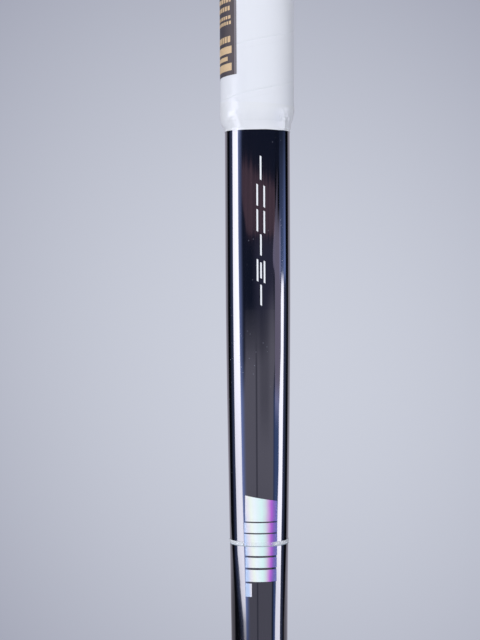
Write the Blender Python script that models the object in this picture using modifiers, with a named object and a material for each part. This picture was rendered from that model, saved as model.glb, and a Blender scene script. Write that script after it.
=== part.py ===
"""Floorball stick in its separate pieces: tube, moulded blade, screws, end plug, wound grip and trim.

Metres, +Z up along the shaft. The origin is on the shaft's axis, half way along the grip, where a hand
holds the stick. The blade's toe points to +X and its hollow face looks towards -Y.
"""

import math

import bmesh
import bpy
from mathutils import Matrix, Vector

# Clearance kept between solids that touch on the real stick.
SEAT_GAP = 0.0003

# Grip, measured from the top of the end plug to the lower edge of the tape that finishes the wrap. The
# wrap's angle is seen from above, from +X towards +Y.
GRIP_LENGTH = 0.350
WRAP_THICKNESS = 0.0015
WRAP_PITCH = 0.0214
WRAP_START_DEG = 100.0
WRAP_SEAM = 0.00045
WRAP_EDGE_ROUNDING = 0.0005
WRAP_TAIL_HEIGHT = 0.0020
WRAP_STEPS_PER_TURN = 24

# Shaft, a round composite tube.
SHAFT_LENGTH = 0.957
SHAFT_GRIP_DIAMETER = 0.0283
SHAFT_LOWER_DIAMETER = 0.0243
SHAFT_END_DIAMETER = 0.0230
SHAFT_WALL = 0.0018
SHAFT_END_CHAMFER = 0.0004
TAPER_BELOW_GRIP = 0.057
TAPER_LENGTH = 0.200
TAPER_STEPS = 10
ROUND_STEPS = 40

# End plug in the butt of the tube.
PLUG_FLANGE_THICKNESS = 0.0045
PLUG_FLANGE_OVERHANG = 0.0006
PLUG_EDGE_RADIUS = 0.0016
PLUG_DEPTH = 0.026
PLUG_WALL = 0.0020
PLUG_BARB_COUNT = 3
PLUG_BARB_DEPTH = 0.0008
PLUG_BARB_LENGTH = 0.0030
PLUG_DISH_DIAMETER = 0.0210
PLUG_DISH_DEPTH = 0.0006
PLUG_DISH_WIDTH = 0.0012

# Tape that finishes the lower end of the wrap and runs out on the shaft.
TAPE_WIDTH = 0.0118
TAPE_ON_SHAFT = 0.0048
TAPE_THICKNESS = 0.00035

# Size label stuck on the side of the grip. Angles are seen from above, from +X towards +Y.
LABEL_ABOVE_TAPE_END = 0.0245
LABEL_HEIGHT = 0.090
LABEL_THICKNESS = 0.0002
LABEL_FIRST_EDGE_DEG = 122.0
LABEL_LAST_EDGE_DEG = 238.0
LABEL_STEPS = 16

# Pale band round the shaft, low on its taper.
BAND_BELOW_GRIP = 0.1788
BAND_WIDTH = 0.0023
BAND_THICKNESS = 0.0003

# Blade, a one-piece moulding. In its own frame u runs from heel to toe along the sole, v stands on the
# sole, and w comes out of the hollow face. Its origin is where the shaft's axis meets the sole.
LIE_DEG = 58.0
BLADE_LENGTH = 0.238
BLADE_TOE_HEIGHT = 0.076
BLADE_THROAT_HEIGHT = 0.050
BLADE_TOP_CROWN = 0.0015
THROAT_U = 0.024
HEEL_U = 0.010
TOE_LENGTH = 0.054
TOE_DROP = 0.002
TOE_SQUARENESS = 2.4
TOE_STEPS = 20
RIM_WIDTH = 0.0080
RIM_THICKNESS = 0.0090
RIM_ROUNDING = 0.0014
PANEL_THICKNESS = 0.0044
PANEL_IN_RIM = 0.0020
RIB_THICKNESS = 0.0070
RIB_WIDTH = 0.0024
WINDOW_START_U = 0.020
WINDOW_BORDER = 0.0014
OPENING_ROWS = 4
OPENING_PITCH = 0.0222
ROW_BAR = 0.0036
COLUMN_BAR = 0.0040
OPENING_CORNER = 0.0017
OPENING_LEAST_INSIDE = 0.0030
HOOK_START_U = 0.030
HOOK_DEPTH = 0.016
HOOK_POWER = 1.8
BEND_STEP = 0.022

# Neck of the blade, the socket for the shaft, and its screws. Heights are above the shaft's lower end.
SHAFT_END_TO_SOLE = 0.066
SOCKET_DEPTH = 0.058
SOCKET_MOUTH = 0.009
NECK_WALL = 0.0026
NECK_FLOOR = 0.0040
NECK_TONGUE_HEIGHT = 0.020
NECK_TONGUE_HALF_WIDTH = 0.0080
NECK_TONGUE_SHIFT = 0.0060
NECK_WEB_TOP = 0.082
NECK_WEB_INSET = 0.0028
NECK_POINTS = 36
NECK_FADE_STEPS = 9
GLUE_THICKNESS = 0.0003
GLUE_ABOVE_SHAFT_END = 0.0030
LIP_HEIGHT = 0.0060
LIP_DEPTH = 0.0009
GROOVE_COUNT = 2
GROOVE_WIDTH = 0.0026
GROOVE_PITCH = 0.0056
GROOVE_DEPTH = 0.0007
HEEL_CURVE_REACH = 0.026
THROAT_CURVE_REACH = 0.022
SCREW_HEIGHTS = (0.034, 0.014)
SCREW_DIAMETER = 0.0032
SCREW_LENGTH = 0.0110
SCREW_POINT = 0.0020
SCREW_HEAD_DIAMETER = 0.0064
SCREW_HEAD_HEIGHT = 0.0021
SCREW_HEAD_SUNK = 0.0012
SCREW_SLOT_WIDTH = 0.0009
SCREW_SLOT_DEPTH = 0.0011
SCREW_STEPS = 24

# Places that follow from the sizes above.
BUTT_Z = GRIP_LENGTH / 2
TAPE_END_Z = -GRIP_LENGTH / 2
SHAFT_TOP_Z = BUTT_Z - PLUG_FLANGE_THICKNESS - SEAT_GAP
SHAFT_END_Z = SHAFT_TOP_Z - SHAFT_LENGTH
TAPER_TOP_Z = TAPE_END_Z - TAPER_BELOW_GRIP
SOLE_Z = SHAFT_END_Z - SHAFT_END_TO_SOLE
NECK_TOP = SHAFT_END_TO_SOLE + SOCKET_DEPTH
WRAP_INNER_RADIUS = (SHAFT_GRIP_DIAMETER / 2 + SEAT_GAP) / math.cos(math.pi / WRAP_STEPS_PER_TURN)
WRAP_OUTER_RADIUS = WRAP_INNER_RADIUS + WRAP_THICKNESS
WRAP_TOP_Z = BUTT_Z - PLUG_FLANGE_THICKNESS - SEAT_GAP
WRAP_BOTTOM_Z = TAPE_END_Z + TAPE_ON_SHAFT
TOE_START_U = BLADE_LENGTH - TOE_LENGTH
SHAFT_LEAN = 1.0 / math.tan(math.radians(LIE_DEG))


def smooth(share):
    share = min(max(share, 0.0), 1.0)
    return share * share * (3.0 - 2.0 * share)


def mix(start, end, share):
    return start + (end - start) * share


def evenly(start, end, steps):
    return [mix(start, end, k / steps) for k in range(steps + 1)]


def shaft_radius(z):
    """Outside radius of the tube: even under the grip, eased in below it, then drawn in to the blade."""
    taper_end_z = TAPER_TOP_Z - TAPER_LENGTH
    if z > taper_end_z:
        share = smooth((TAPER_TOP_Z - z) / TAPER_LENGTH)
        return mix(SHAFT_GRIP_DIAMETER, SHAFT_LOWER_DIAMETER, share) / 2
    share = (taper_end_z - z) / (taper_end_z - SHAFT_END_Z)
    return mix(SHAFT_LOWER_DIAMETER, SHAFT_END_DIAMETER, share) / 2


# The socket leaves room for the glue below its mouth. The neck's radius is set by the widest stretch.
GLUE_ROOM = GLUE_THICKNESS + 2 * SEAT_GAP
NECK_RADIUS = shaft_radius(SHAFT_END_Z + SOCKET_DEPTH) + GLUE_ROOM + NECK_WALL
NECK_WEB_HALF_WIDTH = NECK_RADIUS - NECK_WEB_INSET


def clear_scene():
    for obj in list(bpy.data.objects):
        bpy.data.objects.remove(obj, do_unlink=True)


def new_collection(name):
    collection = bpy.data.collections.new(name)
    bpy.context.scene.collection.children.link(collection)
    return collection


clear_scene()
STICK = new_collection("floorball_stick")
CUTTERS = new_collection("cutters")
CUTTERS.hide_render = True


def new_material(name, colour, roughness, metallic=0.0):
    made = bpy.data.materials.new(name)
    made.use_nodes = True
    shader = made.node_tree.nodes["Principled BSDF"]
    shader.inputs["Base Color"].default_value = (*colour, 1.0)
    shader.inputs["Roughness"].default_value = roughness
    shader.inputs["Metallic"].default_value = metallic
    made.diffuse_color = (*colour, 1.0)
    return made


def new_object(name, data, material=None, collection=STICK):
    made = bpy.data.objects.new(name, data)
    collection.objects.link(made)
    if material is not None:
        data.materials.append(material)
    return made


def as_cutter(obj):
    obj.hide_render = True
    obj.display_type = "WIRE"
    return obj


def boolean(obj, other, operation):
    """Joins a helper to an object or cuts it away, and keeps the helper out of the render."""
    modifier = obj.modifiers.new(f"{operation.lower()} {other.name}", "BOOLEAN")
    modifier.operation = operation
    modifier.object = as_cutter(other)
    return obj


def turned(name, profile, material, closed=True, steps=ROUND_STEPS, collection=STICK):
    """Turns (radius, z) points about Z. The points run down the outer side."""
    mesh = bpy.data.meshes.new(name)
    edges = [(k, k + 1) for k in range(len(profile) - 1)]
    if closed:
        edges.append((len(profile) - 1, 0))
    mesh.from_pydata([(radius, 0.0, z) for radius, z in profile], edges, [])
    made = new_object(name, mesh, material, collection)
    screw = made.modifiers.new("turn", "SCREW")
    screw.axis = "Z"
    screw.angle = math.tau
    screw.steps = steps
    screw.render_steps = steps
    screw.use_merge_vertices = True
    screw.merge_threshold = 0.00001
    return made


def loft(name, rings, collection=CUTTERS):
    """Skins a list of rings, each a list of as many points, and caps both ends."""
    mesh = bpy.data.meshes.new(name)
    bm = bmesh.new()
    loops = [[bm.verts.new(point) for point in ring] for ring in rings]
    count = len(rings[0])
    for lower, upper in zip(loops, loops[1:]):
        for k in range(count):
            following = (k + 1) % count
            bm.faces.new((lower[k], lower[following], upper[following], upper[k]))
    bm.faces.new(list(reversed(loops[0])))
    bm.faces.new(loops[-1])
    bmesh.ops.recalc_face_normals(bm, faces=bm.faces)
    bm.to_mesh(mesh)
    bm.free()
    return new_object(name, mesh, collection=collection)


def flat_plate(name, outlines, thickness, rounding=0.0):
    """A plate with the given closed outlines, the first outside and any others as openings."""
    curve = bpy.data.curves.new(name, "CURVE")
    curve.dimensions = "2D"
    curve.fill_mode = "BOTH"
    curve.extrude = thickness / 2 - rounding
    curve.bevel_depth = rounding
    curve.bevel_resolution = 1
    curve.offset = -rounding
    for outline in outlines:
        spline = curve.splines.new("POLY")
        spline.points.add(len(outline) - 1)
        for point, (u, v) in zip(spline.points, outline):
            point.co = (u, v, 0.0, 1.0)
        spline.use_cyclic_u = True
    return solid_of(new_object(name, curve, collection=CUTTERS))


def solid_of(obj, collection=CUTTERS):
    """The evaluated shape of an object as a mesh object of the same name, with its caps welded."""
    bpy.context.view_layer.update()
    graph = bpy.context.evaluated_depsgraph_get()
    mesh = bpy.data.meshes.new_from_object(obj.evaluated_get(graph))
    name, matrix = obj.name, obj.matrix_world.copy()
    bpy.data.objects.remove(obj, do_unlink=True)
    bm = bmesh.new()
    bm.from_mesh(mesh)
    bmesh.ops.remove_doubles(bm, verts=bm.verts, dist=0.00001)
    bmesh.ops.recalc_face_normals(bm, faces=bm.faces)
    bm.to_mesh(mesh)
    bm.free()
    made = new_object(name, mesh, collection=collection)
    made.matrix_world = matrix
    return made


def bezier(start, start_handle, end_handle, end, steps):
    points = []
    for share in evenly(0.0, 1.0, steps):
        rest = 1.0 - share
        weights = (rest**3, 3 * rest * rest * share, 3 * rest * share * share, share**3)
        corners = (start, start_handle, end_handle, end)
        points.append(tuple(sum(w * c[k] for w, c in zip(weights, corners)) for k in (0, 1)))
    return points


def rounded(corners, radius, steps=2):
    """A closed outline with each corner drawn as a short curve."""
    outline = []
    for k, corner in enumerate(corners):
        here = Vector(corner)
        before = Vector(corners[k - 1]) - here
        after = Vector(corners[(k + 1) % len(corners)]) - here
        reach = min(radius, before.length / 2.5, after.length / 2.5)
        start = here + before.normalized() * reach
        end = here + after.normalized() * reach
        for share in evenly(0.0, 1.0, steps):
            point = start * (1 - share) ** 2 + here * 2 * share * (1 - share) + end * share**2
            outline.append((point.x, point.y))
    return outline


def make_shaft(material):
    z_values = [SHAFT_TOP_Z, TAPER_TOP_Z]
    z_values += evenly(TAPER_TOP_Z, TAPER_TOP_Z - TAPER_LENGTH, TAPER_STEPS)[1:]
    z_values.append(SHAFT_END_Z)
    outer = [(shaft_radius(z), z) for z in z_values]
    outer[0] = (outer[0][0], SHAFT_TOP_Z - SHAFT_END_CHAMFER)
    outer[-1] = (outer[-1][0], SHAFT_END_Z + SHAFT_END_CHAMFER)
    outer.insert(0, (shaft_radius(SHAFT_TOP_Z) - SHAFT_END_CHAMFER, SHAFT_TOP_Z))
    outer.append((shaft_radius(SHAFT_END_Z) - SHAFT_END_CHAMFER, SHAFT_END_Z))
    bore_z_values = [SHAFT_END_Z, TAPER_TOP_Z - TAPER_LENGTH, TAPER_TOP_Z, SHAFT_TOP_Z]
    inner = [(shaft_radius(z) - SHAFT_WALL, z) for z in bore_z_values]
    shaft = turned("shaft", outer + inner, material)
    for number, height in enumerate(SCREW_HEIGHTS, start=1):
        hole = screw_cutter(f"shaft_screw_hole_{number}", height, number)
        boolean(shaft, hole, "DIFFERENCE")
    return shaft


def make_end_plug(material):
    """A hollow plug whose flange covers the end of the wrap and whose rings hold in the bore."""
    flange_radius = WRAP_OUTER_RADIUS + PLUG_FLANGE_OVERHANG
    bore_radius = SHAFT_GRIP_DIAMETER / 2 - SHAFT_WALL
    ring_radius = bore_radius - SEAT_GAP
    stem_radius = ring_radius - PLUG_BARB_DEPTH
    under_flange_z = BUTT_Z - PLUG_FLANGE_THICKNESS
    plug_end_z = under_flange_z - PLUG_DEPTH
    dish_radius = PLUG_DISH_DIAMETER / 2
    profile = [
        (0.0, BUTT_Z),
        (dish_radius - PLUG_DISH_WIDTH, BUTT_Z),
        (dish_radius - PLUG_DISH_WIDTH, BUTT_Z - PLUG_DISH_DEPTH),
        (dish_radius, BUTT_Z - PLUG_DISH_DEPTH),
        (dish_radius, BUTT_Z),
    ]
    for angle in evenly(math.pi / 2, 0.0, 4):
        radius = flange_radius - PLUG_EDGE_RADIUS * (1 - math.cos(angle))
        profile.append((radius, BUTT_Z - PLUG_EDGE_RADIUS * (1 - math.sin(angle))))
    profile += [(flange_radius, under_flange_z), (stem_radius, under_flange_z)]
    pitch = PLUG_DEPTH / (PLUG_BARB_COUNT + 1)
    for k in range(PLUG_BARB_COUNT):
        top_z = under_flange_z - pitch * (k + 0.6)
        profile += [
            (stem_radius, top_z),
            (ring_radius, top_z - PLUG_BARB_LENGTH / 4),
            (stem_radius, top_z - PLUG_BARB_LENGTH),
        ]
    profile += [
        (stem_radius, plug_end_z),
        (stem_radius - PLUG_WALL, plug_end_z),
        (stem_radius - PLUG_WALL, under_flange_z),
        (0.0, under_flange_z),
    ]
    return turned("end_plug", profile, material, closed=False)


def make_grip_wrap(material):
    """One strip wound up the shaft from its tail under the finishing tape to the end plug."""
    width = WRAP_PITCH - WRAP_SEAM
    first_centre_z = WRAP_BOTTOM_Z + WRAP_TAIL_HEIGHT - width / 2
    last_centre_z = WRAP_TOP_Z - WRAP_TAIL_HEIGHT + width / 2
    steps = math.floor((last_centre_z - first_centre_z) / WRAP_PITCH * WRAP_STEPS_PER_TURN)
    rings = []
    for k in range(steps + 1):
        turns = k / WRAP_STEPS_PER_TURN
        centre_z = first_centre_z + WRAP_PITCH * turns
        low = max(centre_z - width / 2, WRAP_BOTTOM_Z)
        high = min(centre_z + width / 2, WRAP_TOP_Z)
        edge = WRAP_OUTER_RADIUS - WRAP_EDGE_ROUNDING
        section = [
            (WRAP_INNER_RADIUS, low),
            (edge, low),
            (WRAP_OUTER_RADIUS, low + WRAP_EDGE_ROUNDING),
            (WRAP_OUTER_RADIUS, high - WRAP_EDGE_ROUNDING),
            (edge, high),
            (WRAP_INNER_RADIUS, high),
        ]
        angle = math.radians(WRAP_START_DEG) + math.tau * turns
        across = Vector((math.cos(angle), math.sin(angle), 0.0))
        rings.append([across * radius + Vector((0.0, 0.0, z)) for radius, z in section])
    print_least_gap(rings)
    wrap = loft("grip_wrap", rings, STICK)
    wrap.data.materials.append(material)
    wrap.data.shade_smooth()
    wrap.data.set_sharp_from_angle(angle=math.radians(35))
    return wrap


def print_least_gap(rings):
    """Measures the strip's least gap to itself, between each section's top and the one a turn on."""
    gaps = []
    for lower, upper in zip(rings, rings[WRAP_STEPS_PER_TURN:]):
        gaps.append(min((a - b).length for a in lower for b in upper))
    print(f"grip_wrap: {len(rings) / WRAP_STEPS_PER_TURN:.1f} turns, least gap {min(gaps) * 1000:.3f} mm")


def make_end_tape(material):
    """The tape lies on the wrap, then steps down and ends on the shaft."""
    grip_side = WRAP_OUTER_RADIUS + SEAT_GAP
    shaft_side = SHAFT_GRIP_DIAMETER / 2 + SEAT_GAP
    top_z = TAPE_END_Z + TAPE_WIDTH
    step_z = WRAP_BOTTOM_Z - SEAT_GAP
    run_out_z = TAPE_END_Z + TAPE_ON_SHAFT / 4
    outside = [
        (grip_side + TAPE_THICKNESS, top_z),
        (grip_side + TAPE_THICKNESS, step_z + TAPE_THICKNESS),
        (mix(grip_side, shaft_side, 0.25) + TAPE_THICKNESS, mix(step_z, run_out_z, 0.40)),
        (shaft_side + TAPE_THICKNESS, run_out_z),
        (shaft_side + TAPE_THICKNESS, TAPE_END_Z),
    ]
    inside = [
        (shaft_side, TAPE_END_Z),
        (shaft_side, run_out_z),
        (mix(grip_side, shaft_side, 0.25), mix(step_z, run_out_z, 0.40) - TAPE_THICKNESS / 2),
        (grip_side, step_z),
        (grip_side, top_z),
    ]
    return turned("grip_end_tape", outside + inside, material)


def make_size_label(material):
    """A thin sheet curved round the side of the grip."""
    inner = WRAP_OUTER_RADIUS + SEAT_GAP
    low_z = TAPE_END_Z + LABEL_ABOVE_TAPE_END
    high_z = low_z + LABEL_HEIGHT
    rings = []
    for angle_deg in evenly(LABEL_FIRST_EDGE_DEG, LABEL_LAST_EDGE_DEG, LABEL_STEPS):
        angle = math.radians(angle_deg)
        across = Vector((math.cos(angle), math.sin(angle), 0.0))
        section = [
            (inner, low_z),
            (inner + LABEL_THICKNESS, low_z),
            (inner + LABEL_THICKNESS, high_z),
            (inner, high_z),
        ]
        rings.append([across * radius + Vector((0.0, 0.0, z)) for radius, z in section])
    label = loft("size_label", rings, STICK)
    label.data.materials.append(material)
    return label


def make_pale_band(material):
    middle_z = TAPE_END_Z - BAND_BELOW_GRIP
    top_z = middle_z + BAND_WIDTH / 2
    low_z = middle_z - BAND_WIDTH / 2
    inner = shaft_radius(top_z) + SEAT_GAP
    outer = inner + BAND_THICKNESS
    return turned("pale_band", [(outer, top_z), (outer, low_z), (inner, low_z), (inner, top_z)], material)


def blade_frame():
    """Carries the blade's u, v and w to the shaft's frame."""
    lean = math.radians(90.0 - LIE_DEG)
    along = Vector((math.cos(lean), 0.0, -math.sin(lean)))
    up = Vector((math.sin(lean), 0.0, math.cos(lean)))
    out = along.cross(up)
    rotation = Matrix((along, up, out)).transposed().to_4x4()
    return Matrix.Translation((0.0, 0.0, SOLE_Z)) @ rotation


def on_neck(height, sideways):
    """(u, v) of a point at this height up the shaft's axis from the sole, sideways towards the toe."""
    lie = math.radians(LIE_DEG)
    u = -height * math.cos(lie) + sideways * math.sin(lie)
    v = height * math.sin(lie) + sideways * math.cos(lie)
    return u, v


def top_line(u):
    """Height of the blade's upper edge, before the toe rounds it off."""
    share = (u - THROAT_U) / (TOE_START_U - THROAT_U)
    crown = 4 * BLADE_TOP_CROWN * share * (1 - share)
    return mix(BLADE_THROAT_HEIGHT, BLADE_TOE_HEIGHT, share) + crown


# Height of the toe's tip above the sole.
TOE_MIDDLE_V = BLADE_TOE_HEIGHT / 2 - TOE_DROP


def toe_curve(inset):
    """The toe from the end of the sole, round the tip, to the start of the upper edge."""
    reach = BLADE_LENGTH - inset - TOE_START_U
    points = []
    for angle in evenly(-math.pi / 2, math.pi / 2, TOE_STEPS):
        share = max(math.cos(angle), 0.0) ** (2 / TOE_SQUARENESS)
        shrink = abs(math.sin(angle)) ** (2 / TOE_SQUARENESS)
        u = TOE_START_U + reach * share
        edge = top_line(u) - inset if angle > 0 else inset
        points.append((u, mix(TOE_MIDDLE_V, edge, shrink)))
    return points


def blade_outline():
    """Sole, toe, upper edge, throat, neck and heel."""
    upper = [(u, top_line(u)) for u in evenly(TOE_START_U, THROAT_U, 6)[1:]]
    neck_front = on_neck(NECK_WEB_TOP, NECK_WEB_HALF_WIDTH)
    neck_back = on_neck(NECK_WEB_TOP, -NECK_WEB_HALF_WIDTH)
    slope = (top_line(THROAT_U) - top_line(THROAT_U + BEND_STEP)) / BEND_STEP
    throat_handle = (THROAT_U - THROAT_CURVE_REACH, top_line(THROAT_U) + slope * THROAT_CURVE_REACH)
    front_handle = on_neck(NECK_WEB_TOP - THROAT_CURVE_REACH, NECK_WEB_HALF_WIDTH)
    throat = bezier((THROAT_U, top_line(THROAT_U)), throat_handle, front_handle, neck_front, 9)
    back_handle = on_neck(NECK_WEB_TOP - 2 * HEEL_CURVE_REACH, -NECK_WEB_HALF_WIDTH)
    heel_handle = (HEEL_U - HEEL_CURVE_REACH, 0.0)
    heel = bezier(neck_back, back_handle, heel_handle, (HEEL_U, 0.0), 10)
    return toe_curve(0.0) + upper + throat[1:] + heel


def window_left(v, inset):
    """u of the window's heel end, which leans like the shaft."""
    return WINDOW_START_U + inset - SHAFT_LEAN * (v - RIM_WIDTH)


def window_outline(inset):
    """Inside of the rim, or a line larger or smaller all round where the inset isn't the rim's width."""
    heel_inset = inset - RIM_WIDTH
    high_v = top_line(THROAT_U) - inset
    upper_start = (window_left(high_v, heel_inset), high_v)
    upper = [(u, top_line(u) - inset) for u in evenly(TOE_START_U, THROAT_U, 6)[1:]]
    heel_end = (window_left(inset, heel_inset), inset)
    return toe_curve(inset) + upper + [upper_start, heel_end]


def on_lattice(column, row):
    """(u, v) of a crossing. Rows fan out with the blade, and columns lean like the shaft at the heel."""
    foot_u = WINDOW_START_U + OPENING_PITCH * column
    across = row / OPENING_ROWS
    stand = 1.0 - smooth((foot_u - WINDOW_START_U) / (TOE_START_U - WINDOW_START_U))
    v = mix(RIM_WIDTH, top_line(foot_u) - RIM_WIDTH, across)
    u = foot_u - SHAFT_LEAN * stand * (v - RIM_WIDTH)
    return u, mix(RIM_WIDTH, top_line(max(u, THROAT_U)) - RIM_WIDTH, across)


def inside_window(u, v):
    """Whether a point lies well inside the rim, so that an opening there isn't a sliver."""
    inset = RIM_WIDTH + OPENING_LEAST_INSIDE
    if u > BLADE_LENGTH - inset:
        return False
    reach = BLADE_LENGTH - inset - TOE_START_U
    share = max((u - TOE_START_U) / reach, 0.0)
    shrink = (1 - share**TOE_SQUARENESS) ** (1 / TOE_SQUARENESS)
    low = mix(TOE_MIDDLE_V, inset, shrink)
    high = mix(TOE_MIDDLE_V, top_line(u) - inset, shrink)
    return low < v < high


def opening_outlines():
    """Rows of openings laid like bricks, each a rounded four-sided hole between the bars."""
    outlines = []
    half_bar = COLUMN_BAR / 2 / OPENING_PITCH
    columns = math.ceil((BLADE_LENGTH - WINDOW_START_U) / OPENING_PITCH)
    for row in range(OPENING_ROWS):
        shift = 0.5 if row % 2 else 0.0
        bars = [0.0] + [k + shift for k in range(0 if shift else 1, columns + 1)]
        for left, right in zip(bars, bars[1:]):
            if not inside_window(*on_lattice((left + right) / 2, row + 0.5)):
                continue
            sides = (left + half_bar, right - half_bar)
            lower = [on_lattice(side, row) for side in sides]
            upper = [on_lattice(side, row + 1) for side in reversed(sides)]
            corners = [(u, v + ROW_BAR / 2) for u, v in lower]
            corners += [(u, v - ROW_BAR / 2) for u, v in upper]
            outlines.append(rounded(corners, OPENING_CORNER))
    return outlines


def rib_outline(row):
    """A raised rib along the bar between two rows of openings, from the heel plate into the toe's rim."""
    columns = math.ceil((BLADE_LENGTH - WINDOW_START_U) / OPENING_PITCH)
    middle = [on_lattice(column, row) for column in range(-1, columns + 1)]
    lower = [(u, v - RIB_WIDTH / 2) for u, v in middle]
    upper = [(u, v + RIB_WIDTH / 2) for u, v in reversed(middle)]
    return lower + upper


def neck_section(height):
    """Middle and half width of the neck in the blade's plane, and its half width across, at a height."""
    round_from = SHAFT_END_TO_SOLE - NECK_FLOOR
    share = smooth((height - NECK_TONGUE_HEIGHT) / (round_from - NECK_TONGUE_HEIGHT))
    middle = mix(NECK_TONGUE_SHIFT, 0.0, share)
    in_plane = mix(NECK_TONGUE_HALF_WIDTH, NECK_RADIUS, share)
    across = mix(RIM_THICKNESS / 2 - RIM_ROUNDING / 2, NECK_RADIUS, share)
    return middle, in_plane, across


def neck_stations():
    """(height, extra radius) up the neck: its fade into the blade, the socket, the grooves and the lip."""
    round_from = SHAFT_END_TO_SOLE - NECK_FLOOR
    stations = [(height, 0.0) for height in evenly(NECK_TONGUE_HEIGHT, round_from, NECK_FADE_STEPS)]
    lip_low = NECK_TOP - LIP_HEIGHT
    for k in reversed(range(GROOVE_COUNT)):
        middle = lip_low - GROOVE_PITCH * (k + 0.75)
        slope = GROOVE_DEPTH
        stations += [
            (middle - GROOVE_WIDTH / 2, 0.0),
            (middle - GROOVE_WIDTH / 2 + slope, -GROOVE_DEPTH),
            (middle + GROOVE_WIDTH / 2 - slope, -GROOVE_DEPTH),
            (middle + GROOVE_WIDTH / 2, 0.0),
        ]
    stations += [
        (lip_low, 0.0),
        (lip_low + LIP_DEPTH, LIP_DEPTH),
        (NECK_TOP - LIP_DEPTH, LIP_DEPTH),
        (NECK_TOP, 0.0),
    ]
    return stations


def make_neck_body():
    """The neck lofted from a flat tongue inside the blade to the round socket."""
    rings = []
    for height, extra in neck_stations():
        middle, in_plane, across = neck_section(height)
        ring = []
        for k in range(NECK_POINTS):
            angle = math.tau * k / NECK_POINTS
            x = middle + (in_plane + extra) * math.cos(angle)
            y = (across + extra) * math.sin(angle)
            ring.append((x, y, SOLE_Z + height))
        rings.append(ring)
    return loft("neck_body", rings)


def make_socket_cutter():
    """The shaft's lower end with its clearance: close at the mouth, and with room for the glue below."""
    floor_z = SHAFT_END_Z - SEAT_GAP
    out_z = SOLE_Z + NECK_TOP + LIP_HEIGHT
    mouth_z = SOLE_Z + NECK_TOP - SOCKET_MOUTH
    profile = [
        (0.0, out_z),
        (shaft_radius(out_z) + SEAT_GAP, out_z),
        (shaft_radius(mouth_z) + SEAT_GAP, mouth_z),
        (shaft_radius(mouth_z) + GLUE_ROOM, mouth_z - GLUE_ROOM),
        (shaft_radius(SHAFT_END_Z) + GLUE_ROOM, floor_z),
        (0.0, floor_z),
    ]
    return solid_of(turned("socket_bore", profile, None, closed=False, collection=CUTTERS))


def make_neck_glue(material):
    """A thin sleeve of set glue between the tube and the socket, pierced by the screws."""
    low_z = SHAFT_END_Z + GLUE_ABOVE_SHAFT_END
    high_z = SOLE_Z + NECK_TOP - SOCKET_MOUTH - GLUE_ROOM - SEAT_GAP
    outside = [(shaft_radius(z) + SEAT_GAP + GLUE_THICKNESS, z) for z in (high_z, low_z)]
    inside = [(shaft_radius(z) + SEAT_GAP, z) for z in (low_z, high_z)]
    glue = turned("neck_glue", outside + inside, material)
    for number, height in enumerate(SCREW_HEIGHTS, start=1):
        hole = screw_cutter(f"glue_screw_hole_{number}", height, number)
        boolean(glue, hole, "DIFFERENCE")
    return glue


def screw_frame(height, number):
    """A frame whose +Z runs from the shaft's axis out through a screw. Screws alternate sides."""
    side = -1.0 if number % 2 else 1.0
    turn = Matrix.Rotation(-side * math.pi / 2, 4, "X")
    return Matrix.Translation((0.0, 0.0, SHAFT_END_Z + height)) @ turn


def screw_cutter(name, height, number):
    """Room for a screw's shank through the walls and for its head in the neck."""
    shank = SCREW_DIAMETER / 2 + SEAT_GAP
    head = SCREW_HEAD_DIAMETER / 2 + SEAT_GAP
    seat = NECK_RADIUS - SCREW_HEAD_SUNK - SEAT_GAP
    out = NECK_RADIUS + SCREW_HEAD_HEIGHT + LIP_DEPTH
    inner = SHAFT_END_DIAMETER / 2 - 2 * SHAFT_WALL
    profile = [(0.0, out), (head, out), (head, seat), (shank, seat), (shank, inner), (0.0, inner)]
    cutter = turned(name, profile, None, closed=False, steps=SCREW_STEPS, collection=CUTTERS)
    cutter = solid_of(cutter)
    cutter.matrix_world = screw_frame(height, number)
    return cutter


def make_blade_screw(number, height, material):
    """A pan-head screw with a cross slot, seated in the neck's recess and through the tube's wall."""
    seat = NECK_RADIUS - SCREW_HEAD_SUNK
    head_radius = SCREW_HEAD_DIAMETER / 2
    shank_radius = SCREW_DIAMETER / 2
    profile = [(0.0, seat + SCREW_HEAD_HEIGHT)]
    for angle in evenly(math.radians(65), 0.0, 4):
        z = seat + SCREW_HEAD_HEIGHT * math.sin(angle) / math.sin(math.radians(65))
        profile.append((head_radius * math.cos(angle), z))
    profile += [
        (shank_radius, seat),
        (shank_radius, seat - SCREW_LENGTH + SCREW_POINT),
        (0.0, seat - SCREW_LENGTH),
    ]
    name = f"blade_screw_{number}"
    screw = turned(name, profile, material, closed=False, steps=SCREW_STEPS)
    screw.matrix_world = screw_frame(height, number)
    for turn in (0.0, math.pi / 2):
        mesh = bpy.data.meshes.new(f"{name}_slot")
        bm = bmesh.new()
        bmesh.ops.create_cube(bm, size=1.0)
        size = (SCREW_HEAD_DIAMETER * 0.62, SCREW_SLOT_WIDTH, 2 * SCREW_SLOT_DEPTH)
        bmesh.ops.scale(bm, vec=size, verts=bm.verts)
        bm.to_mesh(mesh)
        bm.free()
        slot = new_object(f"{name}_slot", mesh, collection=CUTTERS)
        top = Matrix.Translation((0.0, 0.0, seat + SCREW_HEAD_HEIGHT))
        slot.matrix_world = screw.matrix_world @ top @ Matrix.Rotation(turn, 4, "Z")
        boolean(screw, slot, "DIFFERENCE")
    return screw


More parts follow.
